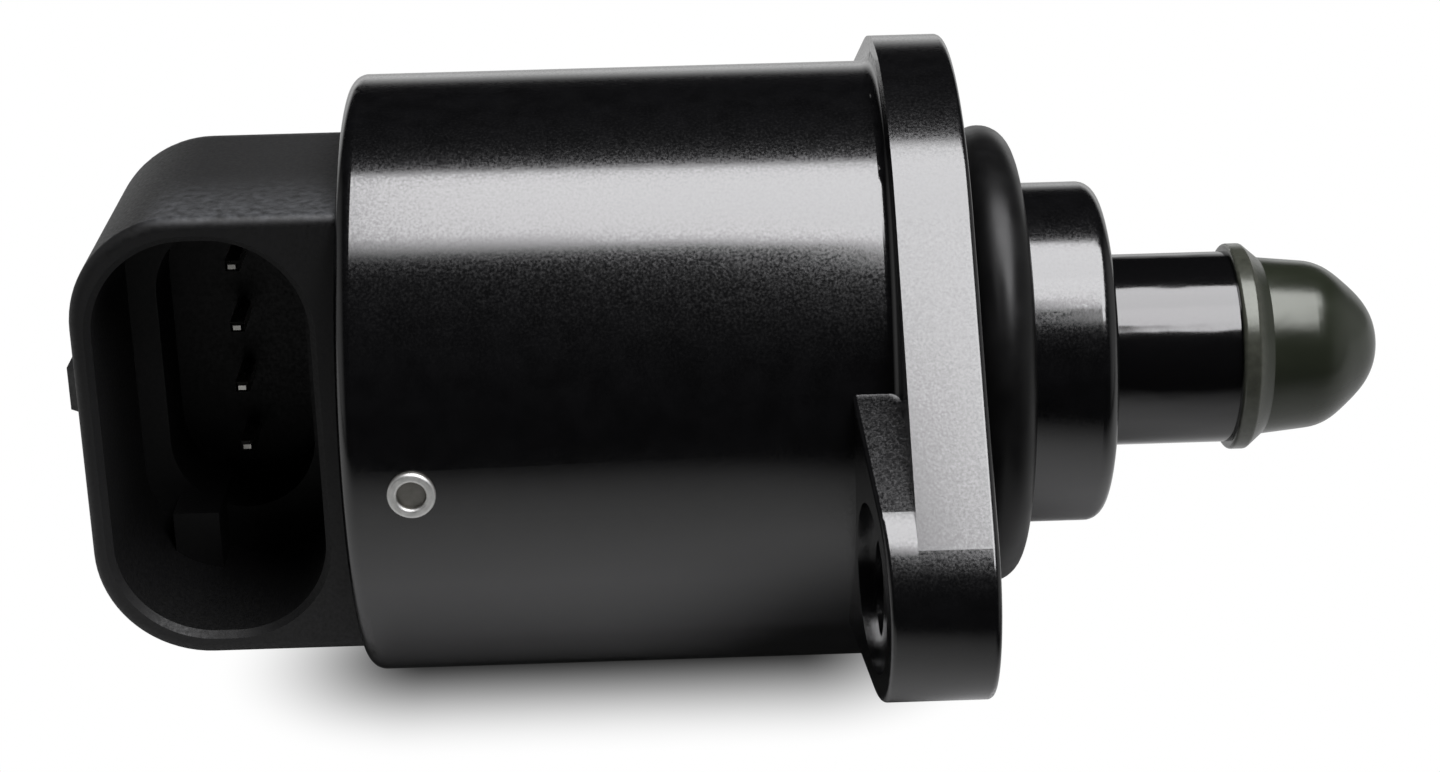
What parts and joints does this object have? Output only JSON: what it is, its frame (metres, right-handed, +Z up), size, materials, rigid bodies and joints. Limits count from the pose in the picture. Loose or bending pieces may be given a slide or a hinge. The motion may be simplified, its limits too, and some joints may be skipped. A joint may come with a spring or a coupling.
{
  "type": "idle air control valve",
  "caption": "Flanged stepper-motor air valve: black cast body, plug-in connector at the rear, and a screw-driven pintle with a rounded cone out of the nose.",
  "frame": {"origin": "on the valve's axis, in the flange's mounting face, at the centre of the bolt circle", "axes": "+X along the valve's axis to the pintle's tip, -Y out of the connector's mouth, +Z up"},
  "size_m": [0.0852, 0.0622, 0.0418],
  "materials": {
    "body_coat": "satin black coating on an aluminium casting",
    "connector_plastic": "matte black moulded plastic",
    "pin_steel": "bright steel",
    "seal_rubber": "satin black rubber",
    "stem_plastic": "gloss black plastic",
    "cone_plastic": "semi-gloss olive grey plastic",
    "terminal_tin": "tinned",
    "pole_iron": "plated sheet iron",
    "bobbin_plastic": "natural plastic",
    "coil_copper": "enamelled copper wire",
    "bearing_steel": "polished",
    "magnet_ferrite": "sintered",
    "nut_plastic": "natural acetal",
    "bush_bronze": "sintered bronze",
    "screw_steel": "rolled"
  },
  "bodies": {
    "valve_body": {"body_housing": "body_coat", "connector_housing": "connector_plastic", "terminal_pin_1": "terminal_tin", "terminal_pin_2": "terminal_tin", "terminal_pin_3": "terminal_tin", "terminal_pin_4": "terminal_tin", "retaining_pins": "pin_steel", "nose_seal": "seal_rubber", "cap_seal": "seal_rubber", "front_outer_pole": "pole_iron", "front_inner_pole": "pole_iron", "front_bobbin": "bobbin_plastic", "front_coil": "coil_copper", "rear_inner_pole": "pole_iron", "rear_outer_pole": "pole_iron", "rear_bobbin": "bobbin_plastic", "rear_coil": "coil_copper", "spring_washer": "pole_iron", "bearing_outer_race": "bearing_steel", "anti_rotation_plate": "pole_iron", "rear_bush": "bush_bronze"},
    "rotor": {"bearing_inner_race": "bearing_steel", "rotor_nut": "nut_plastic", "rotor_magnet": "magnet_ferrite"},
    "ball_set": {"bearing_balls": "bearing_steel", "bearing_cage": "bush_bronze"},
    "pintle": {"lead_screw": "screw_steel", "pintle_stem": "stem_plastic", "pintle_cone": "cone_plastic"}
  },
  "joints": [
    {"name": "rotor_spin", "type": "hinge", "parent": "valve_body", "child": "rotor", "pos_m": [0, 0, 0], "axis": [1, 0, 0], "range_deg": [-360, 2520]},
    {"name": "ball_orbit", "type": "hinge", "parent": "valve_body", "child": "ball_set", "pos_m": [0, 0, 0], "axis": [1, 0, 0], "range_deg": [-146, 1019]},
    {"name": "pintle_slide", "type": "slide", "parent": "valve_body", "child": "pintle", "axis": [1, 0, 0], "range_m": [-0.007, 0.001]}
  ],
  "couplings": [
    {"joint": "rotor_spin", "follows": "pintle_slide", "rad_per_m": -6283.2},
    {"joint": "ball_orbit", "follows": "pintle_slide", "rad_per_m": -2539.5}
  ]
}
